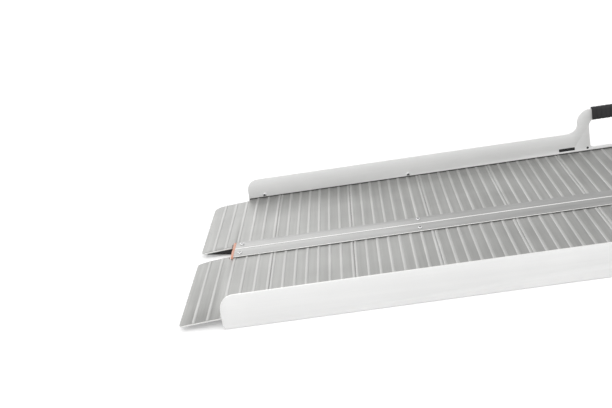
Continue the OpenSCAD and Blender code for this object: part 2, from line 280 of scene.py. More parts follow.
def new_finish(name, roughness, metallic):
    """An empty finish with its constants set on the shader itself."""
    finish = bpy.data.materials.new(name)
    finish.use_nodes = True
    shader = finish.node_tree.nodes["Principled BSDF"]
    shader.inputs["Roughness"].default_value = roughness
    shader.inputs["Metallic"].default_value = metallic
    return finish, finish.node_tree, shader


# %% Drawn metal
# A pattern is stretched where its scale is small.
EVEN = (1, 1, 1)
ACROSS = (1, 0.02, 1)
ALONG = (0.02, 1, 1)


def drawn_metal(name, dark, light, roughness, metallic, stretch, grain=0.12, bump=0.25):
    """Drawn metal between two colours, whose hairlines run across or along the ramp."""
    finish, tree, shader = new_finish(name, roughness, metallic)
    hairs = noise(tree, 900, stretch, 3)
    streaks = noise(tree, 120, stretch, 2)
    specks = noise(tree, 1400, EVEN, 1)
    drift = noise(tree, 9, EVEN, 3)
    amount = hairs * 0.5 + streaks * 0.7 + specks * grain + drift * 0.8 - (0.5 + grain / 2)
    feed(tree, shader, "Base Color", tint(tree, dark, light, amount))
    feed(tree, shader, "Roughness", roughness - 0.08 + hairs * 0.12 + drift * 0.06)
    height = hairs * 0.7 + specks * 0.3
    raised = make_node(
        tree, "ShaderNodeBump", sockets={"Height": height, "Strength": bump, "Distance": 0.05 * MM}
    )
    feed(tree, shader, "Normal", raised["Normal"])
    print("finish", name)
    return finish


# %% The metals
deck_metal = drawn_metal(
    "deck_aluminium", (0.225, 0.225, 0.218), (0.395, 0.395, 0.385), 0.46, 0.72, ACROSS
)
# The ribs' finish is lighter than the deck's: a painted highlight on the rib tops.
rib_highlight_metal = drawn_metal("rib_highlight_aluminium", (0.33, 0.33, 0.322), (0.55, 0.55, 0.54), 0.5, 0.7, ACROSS)
rail_metal = drawn_metal(
    "rail_aluminium", (0.71, 0.71, 0.706), (0.78, 0.78, 0.776), 0.42, 0.15, ALONG, 0.06, 0.12
)
strip_metal = drawn_metal(
    "strip_aluminium", (0.25, 0.25, 0.245), (0.41, 0.41, 0.405), 0.42, 0.72, ALONG, 0.08, 0.2
)
# The cut finish is a painted highlight that makes the sawn edges of the plates bright.
cut_edge_highlight_metal = drawn_metal("cut_edge_highlight_aluminium", (0.58, 0.58, 0.57), (0.80, 0.80, 0.79), 0.4, 0.4, ALONG, 0.1, 0.1)
# The rim finish is a painted highlight for the bright edges of the rails and the strips.
rim_highlight_metal = drawn_metal(
    "rim_highlight_aluminium", (0.78, 0.775, 0.765), (0.92, 0.915, 0.90), 0.4, 0.3, ALONG, 0.06, 0.1
)
rivet_metal = drawn_metal(
    "rivet_aluminium", (0.55, 0.55, 0.56), (0.80, 0.80, 0.80), 0.25, 0.85, ACROSS, 0.1, 0.1
)
steel = drawn_metal("zinc_steel", (0.42, 0.42, 0.43), (0.62, 0.62, 0.63), 0.34, 0.9, ALONG, 0.1, 0.2)

# %% [markdown]
# Rubber and moulded plastic have no hairlines. They carry a fine dull grain, a slow change of tone, and a
# soft bump. The same recipe makes two dark dull finishes that are painted shade: the pit of a rivet, and the
# back of the groove along a rail.


# %% Rubber, plastic, and painted shade for rivet pits and rail grooves
def moulded(name, dark, light, roughness, bump):
    """A dull finish between two colours, with a fine pebbled grain."""
    finish, tree, shader = new_finish(name, roughness, 0)
    shader.inputs["Specular IOR Level"].default_value = 0.25
    pebbles = noise(tree, 1800, EVEN, 2)
    drift = noise(tree, 22, EVEN, 3)
    feed(tree, shader, "Base Color", tint(tree, dark, light, drift * 0.7 + pebbles * 0.3))
    feed(tree, shader, "Roughness", roughness - 0.1 + drift * 0.2)
    raised = make_node(
        tree, "ShaderNodeBump", sockets={"Height": pebbles, "Strength": bump, "Distance": 0.1 * MM}
    )
    feed(tree, shader, "Normal", raised["Normal"])
    print("finish", name)
    return finish


rubber = moulded("black_rubber", (0.012, 0.012, 0.012), (0.035, 0.035, 0.036), 0.7, 0.5)
grip_rubber = moulded("grip_rubber", (0.016, 0.016, 0.017), (0.045, 0.045, 0.047), 0.62, 0.6)
cap_plastic = moulded("cap_plastic", (0.58, 0.26, 0.17), (0.78, 0.42, 0.31), 0.5, 0.25)
# Painted shade for the pit of a rivet.
rivet_pit_shade = moulded("rivet_pit_shade_paint", (0.03, 0.03, 0.03), (0.08, 0.08, 0.08), 0.55, 0.3)
# Painted shade for the back of the rail's groove.
groove_shade = moulded("groove_shade_paint", (0.05, 0.05, 0.048), (0.14, 0.14, 0.135), 0.8, 0.4)

# %% [markdown]
# ## Working by hand, in code
# Each piece starts as a block, plate or rod and is then shaped in edit mode. A tool works on whatever is
# selected, so these helpers first clear the selection and then pick faces, edges or points by their place.


# %% Helpers for starting a piece
def deselect():
    bpy.ops.object.select_all(action="DESELECT")


def only(piece):
    """Makes one piece the selected and active one."""
    deselect()
    piece.select_set(True)
    bpy.context.view_layer.objects.active = piece


def settle(piece):
    """Puts a piece's place, turn and size into its mesh, so that its object sits at the origin."""
    only(piece)
    bpy.ops.object.transform_apply(location=True, rotation=True, scale=True)
    return piece


def block(name, low, high):
    """A block between two corners."""
    deselect()
    low, high = Vector(low), Vector(high)
    bpy.ops.mesh.primitive_cube_add(size=1, location=(low + high) / 2)
    piece = bpy.context.object
    piece.name = name
    piece.scale = high - low
    return settle(piece)


def rod(name, centre, radius, length, axis, sides=32):
    """A rod centred on a point, along an axis."""
    deselect()
    bpy.ops.mesh.primitive_cylinder_add(vertices=sides, radius=radius, depth=length, location=centre)
    piece = bpy.context.object
    piece.name = name
    piece.rotation_euler = Vector(axis).to_track_quat("Z", "Y").to_euler()
    return settle(piece)


# %% Helpers for edit mode
@contextmanager
def editing(piece):
    """Edit mode on one piece, left again at the end."""
    only(piece)
    bpy.ops.object.mode_set(mode="EDIT")
    yield
    bpy.ops.object.mode_set(mode="OBJECT")


def pick(kind, test):
    """Selects the faces, edges or points of the piece in edit mode that pass a test."""
    bpy.ops.mesh.select_mode(type=kind)
    bpy.ops.mesh.select_all(action="DESELECT")
    shape = bmesh.from_edit_mesh(bpy.context.object.data)
    shape.normal_update()
    group = {"FACE": shape.faces, "EDGE": shape.edges, "VERT": shape.verts}[kind]
    found = [item for item in group if test(item)]
    for item in found:
        item.select_set(True)
    bmesh.update_edit_mesh(bpy.context.object.data)


def middle(edge):
    """The point halfway along an edge."""
    return (edge.verts[0].co + edge.verts[1].co) / 2


def runs(edge, axis):
    """Whether an edge runs along X, Y or Z, given as 0, 1 or 2."""
    way = edge.verts[1].co - edge.verts[0].co
    return abs(way[axis]) > 0.99 * way.length


def cut_at(axis, place):
    """Cuts the whole piece in edit mode across one axis, as with a saw that removes nothing."""
    bpy.ops.mesh.select_all(action="SELECT")
    point, normal = [0, 0, 0], [0, 0, 0]
    point[axis], normal[axis] = place, 1
    bpy.ops.mesh.bisect(plane_co=point, plane_no=normal)


# %% Helpers that shape what is selected
def pull(way):
    """Extrudes the selected faces together by a vector."""
    bpy.ops.mesh.extrude_region_move(TRANSFORM_OT_translate={"value": way})


def round_edges(radius, steps):
    """Rounds the selected edges."""
    bpy.ops.mesh.bevel(offset=radius, offset_type="OFFSET", segments=steps, affect="EDGES")


# %% Helpers for finishing a piece
def apply_modifier(piece, kind, **settings):
    """Adds a modifier with its settings and applies it."""
    only(piece)
    modifier = piece.modifiers.new(kind.lower(), kind)
    for name, value in settings.items():
        setattr(modifier, name, value)
    bpy.ops.object.modifier_apply(modifier=modifier.name)


def combine(piece, tool, operation):
    """Cuts a tool out of a piece, or joins it on, and throws the tool away."""
    apply_modifier(piece, "BOOLEAN", operation=operation, object=tool, solver="EXACT")
    bpy.data.objects.remove(tool)


def soften(piece, width, steps=2):
    """Takes the sharpness off every edge that turns by more than 40 degrees."""
    apply_modifier(
        piece, "BEVEL", width=width, segments=steps, limit_method="ANGLE", angle_limit=math.radians(40)
    )


def outward(piece):
    """Merges doubled points and turns every face outwards."""
    with editing(piece):
        bpy.ops.mesh.select_all(action="SELECT")
        bpy.ops.mesh.remove_doubles(threshold=0.001 * MM)
        bpy.ops.mesh.normals_make_consistent(inside=False)


def smooth(piece):
    """Shades a piece smooth, apart from edges that turn by more than 35 degrees."""
    only(piece)
    bpy.ops.object.shade_smooth_by_angle(angle=math.radians(35))


# %% Helpers for copying, joining and handing over
def copy_of(piece, name, shift=(0, 0, 0), flip=(1, 1, 1)):
    """A copy with its own mesh, moved or mirrored."""
    only(piece)
    bpy.ops.object.duplicate()
    twin = bpy.context.object
    twin.name = name
    twin.location = shift
    twin.scale = flip
    settle(twin)
    if flip != (1, 1, 1):
        outward(twin)
    return twin


def joined(pieces, name):
    """Several pieces made into one, with the first one's place."""
    only(pieces[0])
    for piece in pieces:
        piece.select_set(True)
    bpy.ops.object.join()
    whole = bpy.context.object
    whole.name = name
    return whole


def paint_with(piece, *finishes):
    """Gives a piece its finishes, in the order of their numbers."""
    piece.data.materials.clear()
    for finish in finishes:
        piece.data.materials.append(finish)


def hand_over(piece, node):
    """The piece stands for its CAD node, which is hidden, and rides on that node's body."""
    piece.data.name = piece.name
    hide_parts(node)
    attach(piece, frame["nodes"][node]["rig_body"])


def faces_of(piece):
    return len(piece.data.polygons)


# %% [markdown]
# ## The sizes that the pieces share
# Most sizes are read from the frame. The few that the CAD pieces don't show on their outside, such as a
# plate's thickness, are named here.

# %% Shared sizes
PLATE_T = 2.8 * MM
RIB_W = 6.0 * MM
RIB_INSET = 3.0 * MM
JOINT_GAP = 0.4 * MM
LEG_T = 2.5 * MM
RAIL_T = 4 * MM
TIP_DROP = 5 * MM
DECK_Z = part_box("far_centre_beam")[1].z
RIB_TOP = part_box("far_plank_1")[1].z
LEDGE_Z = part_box("far_plank_1")[0].z
PLATE_Z = DECK_Z - PLATE_T
print("deck", round(DECK_Z / MM, 1), "rib top", round(RIB_TOP / MM, 1), "ledge", round(LEDGE_Z / MM, 1))

# %% [markdown]
# ## The deck planks
# A plank is one length of a ribbed extrusion, laid across the ramp: a thin plate, low round-topped ribs
# for grip, and three legs below that stiffen it. It could be drawn as a section and swept, but a block that
# is sawn into strips is quicker to follow. The strips between two cuts are raised as ribs by three insets,
# each one narrower, or pulled down as legs. One plank of each kind is made and the rest are copies.


# %% Ribs and legs on a plate
# How far each inset goes in, as a share of the rib's width, and up, as a share of its height.
RIB_STEPS = ((0.09, 0.45), (0.10, 0.35), (0.09, 0.20))


def raise_ribs(centres):
    """Raises ribs from the plate in edit mode, in steps that leave their tops round."""
    rib_h = RIB_TOP - DECK_Z

    def on_rib(x):
        return any(abs(x - centre) < RIB_W * 0.45 for centre in centres)

    for centre in centres:
        cut_at(0, centre - RIB_W / 2)
        cut_at(0, centre + RIB_W / 2)
    pick("FACE", lambda f: f.normal.z > 0.99 and on_rib(f.calc_center_bounds().x))
    for share_in, share_up in RIB_STEPS:
        bpy.ops.mesh.inset(thickness=RIB_W * share_in, depth=rib_h * share_up)


def drop_legs(starts):
    """Pulls legs down from the plate in edit mode."""
    for start in starts:
        cut_at(0, start)
        cut_at(0, start + LEG_T)

    def on_leg(x):
        return any(start < x < start + LEG_T for start in starts)

    pick("FACE", lambda f: f.normal.z < -0.99 and on_leg(f.calc_center_bounds().x))
    pull((0, 0, LEDGE_Z - PLATE_Z))


def paint_deck_and_highlights(piece, surface):
    """Gives what stands above the surface a lighter finish, a painted highlight on the ribs, and the sawn
    sides a bright one, a painted highlight on the cut edges.
    """
    paint_with(piece, deck_metal, rib_highlight_metal, cut_edge_highlight_metal)
    for face in piece.data.polygons:
        # Faces that stand above the surface take the painted rib highlight.
        if surface(face.center) + 0.1 * MM < face.center.z:
            face.material_index = 1
        # Upright sawn sides take the painted edge highlight.
        elif abs(face.normal.z) < 0.5 and face.center.z > PLATE_Z - TIP_DROP:
            face.material_index = 2


# %% Flat planks
def flat_plank(node, pitches):
    """A flat plank in the place of a CAD node, with a rib more than it has pitches."""
    low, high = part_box(node)
    piece = block(node + "_tread", (low.x, low.y, PLATE_Z), (high.x, high.y, DECK_Z))
    start = low.x - JOINT_GAP / 2
    length = high.x - low.x + JOINT_GAP
    pitch = (length - 2 * RIB_INSET) / pitches
    with editing(piece):
        pick("EDGE", lambda e: runs(e, 1) and middle(e).z > DECK_Z - 0.1 * MM)
        round_edges(0.4 * MM, 2)
        raise_ribs([start + RIB_INSET + i * pitch for i in range(pitches + 1)])
        drop_legs([low.x, (low.x + high.x - LEG_T) / 2, high.x - LEG_T])
    outward(piece)
    paint_deck_and_highlights(piece, lambda place: DECK_Z)
    smooth(piece)
    print(piece.name, faces_of(piece), "faces")
    return piece


for side in ("far", "near"):
    first = flat_plank(side + "_plank_1", 7)
    start_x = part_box(side + "_plank_1")[0].x
    hand_over(first, side + "_plank_1")
    for number in range(2, 9):
        node = f"{side}_plank_{number}"
        tread = copy_of(first, node + "_tread", (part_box(node)[0].x - start_x, 0, 0))
        hand_over(tread, node)
    hand_over(flat_plank(side + "_middle_plank", 10), side + "_middle_plank")
print("flat planks done")

# %% [markdown]
# ## The end planks
# Each end plank runs out past the rail as a sloping tongue. It is cut from a flat sheet: the sheet is
# sawn, the waste is deleted and the tongue's corners are rounded. Pulled down, the sheet becomes a plate.
# The near tongue has its large corner beside the fold, the far one beside the rail. Last, the tongue is
# turned down about the line where it starts. The far half's top plank is made and its low one is mirrored
# from it. The near half's two are mirrored from a pattern that is made in the same place.

# %% End plank sizes
NOTCH_HALF = 27 * MM
NOTCH_START = 87 * MM
KINK = 73 * MM
TIP_INSET = 16 * MM
END_RIBS = 6
END_PITCH = 24.4 * MM
END_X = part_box("far_top_end_plank")[0].x - JOINT_GAP / 2
TIP_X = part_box("far_top_end_plank")[1].x
KINK_X = END_X + KINK
TONGUE_FALL = TIP_DROP / (TIP_X - KINK_X)
print("end plank", round((TIP_X - END_X) / MM, 1), "mm, tongue", round((TIP_X - KINK_X) / MM, 1), "mm of it")


# %% The sheet
def end_sheet(name, strip_edge, rail_in, fold_r, rail_r):
    """A flat sheet with an end plank's outline, where the far half's top one lies."""
    low_x = END_X + JOINT_GAP / 2
    tip_out = rail_in + RAIL_T - TIP_INSET
    notch_x = END_X + NOTCH_START
    deselect()
    bpy.ops.mesh.primitive_plane_add(size=1, location=(0, 0, DECK_Z))
    piece = bpy.context.object
    piece.name = name
    piece.scale = (TIP_X - low_x, rail_in - NOTCH_HALF, 1)
    piece.location = ((TIP_X + low_x) / 2, (rail_in + NOTCH_HALF) / 2, DECK_Z)
    settle(piece)

    def waste(place):
        inner = place.x < notch_x and place.y < strip_edge
        return inner or (place.x > KINK_X and place.y > tip_out)

    def near_point(point, x, y):
        return abs(point.co.x - x) + abs(point.co.y - y) < 0.5 * MM

    with editing(piece):
        for axis, place in ((0, KINK_X), (0, notch_x), (1, strip_edge), (1, tip_out)):
            cut_at(axis, place)
        pick("FACE", lambda f: waste(f.calc_center_bounds()))
        bpy.ops.mesh.delete(type="FACE")
        for y, radius, steps in ((NOTCH_HALF, fold_r, 14), (tip_out, rail_r, 10)):
            pick("VERT", lambda v: near_point(v, TIP_X, y))
            bpy.ops.mesh.bevel(offset=radius, segments=steps, affect="VERTICES")
    return piece


# %% From sheet to plank
def end_plank(name, strip_edge, rail_in, fold_r, rail_r):
    """An end plank, with the radii of its corners beside the fold and beside the rail."""
    piece = end_sheet(name, strip_edge, rail_in, fold_r, rail_r)
    with editing(piece):
        bpy.ops.mesh.select_all(action="SELECT")
        pull((0, 0, -PLATE_T))
        bpy.ops.mesh.select_all(action="SELECT")
        bpy.ops.mesh.normals_make_consistent(inside=False)
        pick("EDGE", lambda e: e.calc_face_angle(0) > 1.2 and not runs(e, 2) and middle(e).x > KINK_X)
        round_edges(0.7 * MM, 2)
        raise_ribs([END_X + RIB_INSET + i * END_PITCH for i in range(END_RIBS)])
        drop_legs([END_X + JOINT_GAP / 2, KINK_X - LEG_T])
        pick("VERT", lambda v: v.co.x > KINK_X + 0.01 * MM)
        bpy.ops.transform.rotate(
            value=-math.atan(TONGUE_FALL),
            orient_axis="Y",
            center_override=(KINK_X, 0, DECK_Z),
            orient_type="GLOBAL",
        )
    outward(piece)
    paint_deck_and_highlights(piece, lambda place: DECK_Z - max(0, place.x - KINK_X) * TONGUE_FALL)
    smooth(piece)
    print(name, faces_of(piece), "faces")
    return piece


# %% The four end planks
rail_in_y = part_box("far_plank_1")[1].y
far_end = end_plank("far_top_end_tread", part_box("far_plank_1")[0].y, rail_in_y, 8 * MM, 22 * MM)
near_pattern = end_plank("near_end_pattern", -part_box("near_plank_1")[1].y, rail_in_y, 42 * MM, 8 * MM)
pieces_made = {
    "far_top_end_plank": far_end,
    "far_low_end_plank": copy_of(far_end, "far_low_end_tread", flip=(-1, 1, 1)),
    "near_top_end_plank": copy_of(near_pattern, "near_top_end_tread", flip=(1, -1, 1)),
    "near_low_end_plank": copy_of(near_pattern, "near_low_end_tread", flip=(-1, -1, 1)),
}
bpy.data.objects.remove(near_pattern)
for node, piece in pieces_made.items():
    hand_over(piece, node)

# %% [markdown]
# ## The side rails
# A rail is a drawn angle: an upright web that keeps the wheels on, and a ledge at its foot that carries the
# planks. Its middle rises into a carrying handle. The web's outline comes from a block: the part between
# two saw cuts is pulled up, the flat faces are merged, and then the corners are rounded one radius at a
# time, the hollow ones too, and so is the outer edge of its foot.

# %% Rail sizes
RAIL_LOW, RAIL_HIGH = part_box("far_rail")
RAIL_IN = RAIL_HIGH.y - RAIL_T
RAIL_MID = RAIL_IN + RAIL_T / 2
RAIL_TOP = DECK_Z + 44.5 * MM
RAIL_TOP_R = 25 * MM
RAIL_LOW_R = 5 * MM
RAIL_FOOT_R = 2 * MM
EAR_HALF = 74 * MM
EAR_R = 30 * MM
SWEEP_R = 28 * MM
print("rail", round((RAIL_HIGH.x - RAIL_LOW.x) / MM), "mm long, web", round(RAIL_T / MM), "mm thick")


# %% The web and its handle
def rail_web(name):
    """The far rail's upright web, with its handle raised and its corners round."""
    piece = block(name, (RAIL_LOW.x, RAIL_IN, RAIL_LOW.z), (RAIL_HIGH.x, RAIL_HIGH.y, RAIL_TOP))

    def corner(x, z):
        return lambda e: runs(e, 1) and abs(abs(middle(e).x) - x) + abs(middle(e).z - z) < 0.5 * MM

    def foot_rim(e):
        at = middle(e)
        return abs(at.y - RAIL_HIGH.y) < 0.1 * MM and at.z < RAIL_LOW.z + 6 * MM and not runs(e, 1)

    with editing(piece):
        cut_at(0, -EAR_HALF)
        cut_at(0, EAR_HALF)
        pick("FACE", lambda f: f.normal.z > 0.99 and abs(f.calc_center_bounds().x) < EAR_HALF / 2)
        pull((0, 0, RAIL_HIGH.z - RAIL_TOP))
        bpy.ops.mesh.select_all(action="SELECT")
        bpy.ops.mesh.dissolve_limited(angle_limit=math.radians(1))
        rounds = (
            (RAIL_HIGH.x, RAIL_TOP, RAIL_TOP_R, 12),
            (RAIL_HIGH.x, RAIL_LOW.z, RAIL_LOW_R, 6),
            (EAR_HALF, RAIL_HIGH.z, EAR_R, 12),
            (EAR_HALF, RAIL_TOP, SWEEP_R, 12),
        )
        for x, z, radius, steps in rounds:
            pick("EDGE", corner(x, z))
            round_edges(radius, steps)
        pick("EDGE", foot_rim)
        round_edges(RAIL_FOOT_R, 3)
    return piece


# %% [markdown]
# A rail has five openings: one for the hand, a slot for a strap at each foot of the handle, and beside each
# slot a small hole for a tether. They are cut with blocks whose corners are rounded first, and with rods.

# %% Opening sizes
OPENING_HALF = 48.5 * MM
OPENING_UP = 8.5 * MM
OPENING_R = 18 * MM
OPENING_LOW_R = 6 * MM
BAR_D = 22 * MM
SLOT_X = 101 * MM
SLOT_L = 35.5 * MM
SLOT_H = 7 * MM
SLOT_Z = DECK_Z + 9.5 * MM
SLOT_R = 1.6 * MM
TETHER_X = 55 * MM
TETHER_Z = DECK_Z + 7.5 * MM
TETHER_R = 2.75 * MM


# %% Openings
def cutter(name, x, low_z, high_z, half, top_r, low_r):
    """A block through the web with rounded upper and lower corners."""
    tool = block(name, (x - half, RAIL_IN - 5 * MM, low_z), (x + half, RAIL_HIGH.y + 5 * MM, high_z))
    with editing(tool):
        pick("EDGE", lambda e: runs(e, 1) and middle(e).z > high_z - 0.1 * MM)
        round_edges(top_r, 8)
        pick("EDGE", lambda e: runs(e, 1) and middle(e).z < low_z + 0.1 * MM)
        round_edges(low_r, 5)
    return tool


def cut_openings(piece):
    """Cuts the opening for the hand, and the slot and the small hole on each side of it."""
    bar_z = RAIL_HIGH.z - BAR_D
    tool = cutter("opening", 0, DECK_Z + OPENING_UP, bar_z, OPENING_HALF, OPENING_R, OPENING_LOW_R)
    combine(piece, tool, "DIFFERENCE")
    slot_low = SLOT_Z - SLOT_H / 2
    for side in (-1, 1):
        tool = cutter("slot", side * SLOT_X, slot_low, slot_low + SLOT_H, SLOT_L / 2, SLOT_R, SLOT_R)
        combine(piece, tool, "DIFFERENCE")
        hole = rod("hole", (side * TETHER_X, RAIL_MID, TETHER_Z), TETHER_R, 3 * RAIL_T, (0, 1, 0))
        combine(piece, hole, "DIFFERENCE")


# %% [markdown]
# The ledge is a second block, joined on under the planks. A shadow groove runs along the web, behind the
# planks' ends. The rims are painted brighter than the web, a painted highlight, and the back of the groove
# gets painted shade.

# %% Ledge, groove and finishes
GROOVE_H = 2.1 * MM
GROOVE_DEPTH = 2.2 * MM


def add_ledge_and_groove(piece):
    """Joins on the ledge and cuts the groove above it."""
    ledge_end = RAIL_HIGH.x - RAIL_LOW_R
    ledge = block("ledge", (-ledge_end, RAIL_LOW.y, RAIL_LOW.z), (ledge_end, RAIL_MID, LEDGE_Z))
    combine(piece, ledge, "UNION")
    groove = block(
        "groove",
        (-RAIL_HIGH.x - MM, RAIL_IN - MM, PLATE_Z),
        (RAIL_HIGH.x + MM, RAIL_IN + GROOVE_DEPTH, DECK_Z + GROOVE_H),
    )
    combine(piece, groove, "DIFFERENCE")


def paint_rail(piece):
    """Gives the web its plain finish, its rims a painted highlight, and the back of the groove painted
    shade.
    """
    paint_with(piece, rail_metal, rim_highlight_metal, groove_shade)
    for face in piece.data.polygons:
        # Rims and edges of the web take the painted highlight.
        if abs(face.normal.y) < 0.9 and face.center.z > LEDGE_Z:
            face.material_index = 1
        # Faces at the back of the groove take the painted shade.
        deep = face.center.y > RAIL_IN + 0.6 * MM and face.normal.y < -0.5
        if deep and LEDGE_Z < face.center.z < DECK_Z + GROOVE_H - 0.1 * MM:
            face.material_index = 2


# %% [markdown]
# The slots and the small holes look dark on a ramp, though light would fall through them here. So a thin
# black sheet in the rubber finish closes each one, halfway through the web: painted shade, not a part of the
# ramp. It is a little larger than its hole, so that no gap shows round it.

# %% Sheets of painted shade, and the finished rails
SHADE_SHEET_LAP = 0.3 * MM
SHADE_SHEET_T = RAIL_T - 2 * MM


def shade_sheets():
    """A black sheet of painted shade, in the rubber finish, for each slot and each small hole."""
    reach = Vector((SLOT_L / 2 + SHADE_SHEET_LAP, SHADE_SHEET_T / 2, SLOT_H / 2 + SHADE_SHEET_LAP))
    made = []
    for side in (-1, 1):
        at = Vector((side * SLOT_X, RAIL_MID, SLOT_Z))
        made.append(block("shade_sheet", at - reach, at + reach))
        place = (side * TETHER_X, RAIL_MID, TETHER_Z)
        made.append(rod("hole_shade_sheet", place, TETHER_R + SHADE_SHEET_LAP, SHADE_SHEET_T, (0, 1, 0)))
    # Each sheet stands in for the shade inside its slot or hole.
    for shade_sheet in made:
        paint_with(shade_sheet, rubber)
    return made


def side_rail(name):
    """The far rail, in one piece with its sheets of painted shade."""
    web = rail_web(name)
    cut_openings(web)
    add_ledge_and_groove(web)
    soften(web, 0.7 * MM)
    outward(web)
    paint_rail(web)
    piece = joined([web, *shade_sheets()], name)
    smooth(piece)
    print(name, faces_of(piece), "faces")
    return piece


far_rail = side_rail("far_side_rail")
near_rail = copy_of(far_rail, "near_side_rail", flip=(1, -1, 1))
hand_over(far_rail, "far_rail")
hand_over(near_rail, "near_rail")

# %% [markdown]
# ## The cover strips
# Two flat strips run down the middle, over the inner ends of the planks. The near one is thicker, and its
# lip reaches over the fold line, so that grit stays out of the hinge. A low ridge stiffens that lip. The
# near strip's outer edge is undercut, which draws a thin shadow line beside the planks. The far strip is a
# softened block, and the near one is a block whose edge faces are pulled and cut first.


# %% Strip sizes and tools
LIP_T = 0.8 * MM
FOLD_GAP = 0.3 * MM
RIDGE_W = 3.2 * MM
RIDGE_H = 0.8 * MM
UNDERCUT_H = 1.3 * MM
UNDERCUT_DEPTH = 3 * MM


def lipped_strip(name, low, high):
    """The near strip: a block with a lip over the fold line, a ridge on the lip and an undercut edge."""
    piece = block(name, (low.x, low.y, DECK_Z), (high.x, -FOLD_GAP, high.z))
    with editing(piece):
        cut_at(2, high.z - LIP_T)
        pick("FACE", lambda f: f.normal.y > 0.99 and f.calc_center_bounds().z > high.z - LIP_T)
        pull((0, high.y + FOLD_GAP, 0))
        cut_at(1, high.y - RIDGE_W)
        pick("FACE", lambda f: f.normal.z > 0.99 and f.calc_center_bounds().y > high.y - RIDGE_W)
        bpy.ops.mesh.inset(thickness=0.4 * MM, depth=RIDGE_H)
    tool = block(
        "undercut",
        (low.x - MM, low.y - MM, DECK_Z - MM),
        (high.x + MM, low.y + UNDERCUT_DEPTH, DECK_Z + UNDERCUT_H),
    )
    combine(piece, tool, "DIFFERENCE")
    return piece


def finish_strip(piece, rim_z, ridge_z):
    """Softens and paints a strip. Sides above one height and tops above another get the painted rim
    highlight.
    """
    soften(piece, 0.5 * MM)
    outward(piece)
    smooth(piece)
    paint_with(piece, strip_metal, rim_highlight_metal)
    for face in piece.data.polygons:
        # Upright sides above rim_z and faces above ridge_z take the painted highlight.
        if (abs(face.normal.y) > 0.3 and face.center.z > rim_z) or face.center.z > ridge_z:
            face.material_index = 1
    print(piece.name, faces_of(piece), "faces")
    return piece


# %% The two strips
low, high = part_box("far_centre_strip")
far_strip = finish_strip(block("far_cover_strip", low, high), DECK_Z, high.z + RIDGE_H / 4)
hand_over(far_strip, "far_centre_strip")
low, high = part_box("near_centre_strip")
near_strip = lipped_strip("near_cover_strip", low, high)
finish_strip(near_strip, DECK_Z + 0.3 * UNDERCUT_DEPTH, high.z + RIDGE_H / 4)
hand_over(near_strip, "near_centre_strip")

# %% [markdown]
# ## The rivets
# The strips and rails are fixed with blind rivets. Such a rivet has a domed ring for a head, and a pit
# in its middle where the pulling stem snapped off. One head is shaped from a short rod, whose upper edge is
# rounded and whose top is inset and sunk. The pit and its wall are painted dark, as painted shade. The
# others are copies, joined into one piece per row.

# %% One rivet head
HEAD_R = 4.5 * MM
HEAD_T = 2.2 * MM
HEAD_SUNK = 0.25 * MM


def rivet_head(name, radius, height):
    """A rivet head on the origin that points up Z."""
    piece = rod(name, (0, 0, height / 2 - HEAD_SUNK), radius, height + 2 * HEAD_SUNK, (0, 0, 1), 28)
    with editing(piece):
        pick("EDGE", lambda e: middle(e).z > height - 0.3 * MM and not runs(e, 2))
        round_edges(1.5 * MM, 4)
        pick("FACE", lambda f: f.normal.z > 0.99)
        bpy.ops.mesh.inset(thickness=radius * 0.12)
        bpy.ops.mesh.inset(thickness=radius * 0.06, depth=-0.6 * MM)
    paint_with(piece, rivet_metal, rivet_pit_shade)
    # The pit and its wall, near the middle, take the painted shade.
    for face in piece.data.polygons:
        if math.hypot(face.center.x, face.center.y) < radius * 0.56:
            face.material_index = 1
    smooth(piece)
    print(name, faces_of(piece), "faces")
    return piece


head_pattern = rivet_head("rivet_pattern", HEAD_R, HEAD_T)


# %% Rows of rivets
def rivet_row(name, node, places, turn):
    """Copies of the head at the given places, turned as one, joined into one piece."""
    heads = []
    for place in places:
        only(head_pattern)
        bpy.ops.object.duplicate()
        head = bpy.context.object
        head.rotation_euler = turn
        head.location = place
        heads.append(settle(head))
    hand_over(joined(heads, name), node)
    print(name, len(places), "rivets")


def row_places(stations, y, z):
    """The places of a row's heads: each station on both sides of the middle."""
    return [(side * x, y, z) for x in stations for side in (-1, 1)]


far_strip_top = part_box("far_centre_strip")[1].z
near_strip_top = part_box("near_centre_strip")[1].z
strip_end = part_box("far_centre_strip")[1].x
strip_stations = (60 * MM, strip_end - 366 * MM, strip_end - 12 * MM)
rail_stations = (RAIL_HIGH.x - 364 * MM, RAIL_HIGH.x - 36 * MM)
FAR_ROW_Y = 33 * MM
NEAR_ROW_Y = -23 * MM
places = row_places(strip_stations, FAR_ROW_Y, far_strip_top)
rivet_row("far_strip_rivet_heads", "far_strip_rivets", places, (0, 0, 0))
places = row_places(strip_stations, NEAR_ROW_Y, near_strip_top)
rivet_row("near_strip_rivet_heads", "near_strip_rivets", places, (0, 0, 0))

rail_row_z = DECK_Z + 6 * MM
QUARTER = math.pi / 2
places = row_places(rail_stations, rail_in_y, rail_row_z)
rivet_row("far_rail_rivet_heads", "far_rail_rivets", places, (QUARTER, 0, 0))
places = row_places(rail_stations, -rail_in_y, rail_row_z)
rivet_row("near_rail_rivet_heads", "near_rail_rivets", places, (-QUARTER, 0, 0))
bpy.data.objects.remove(head_pattern)

# %% [markdown]
# ## The end caps
# Orange plastic caps cover the ends of the two strips and of the beams below them. Each is a block with
# soft corners, hollowed round the hinge pin and given a shallow moulded panel on its face. One pattern a
# half is made, where its top cap lies. Both of the half's caps are copied from it, and the low one is
# mirrored.

# %% Caps
PIN_Z = 6.5 * MM
PIN_ROOM_R = 5.5 * MM


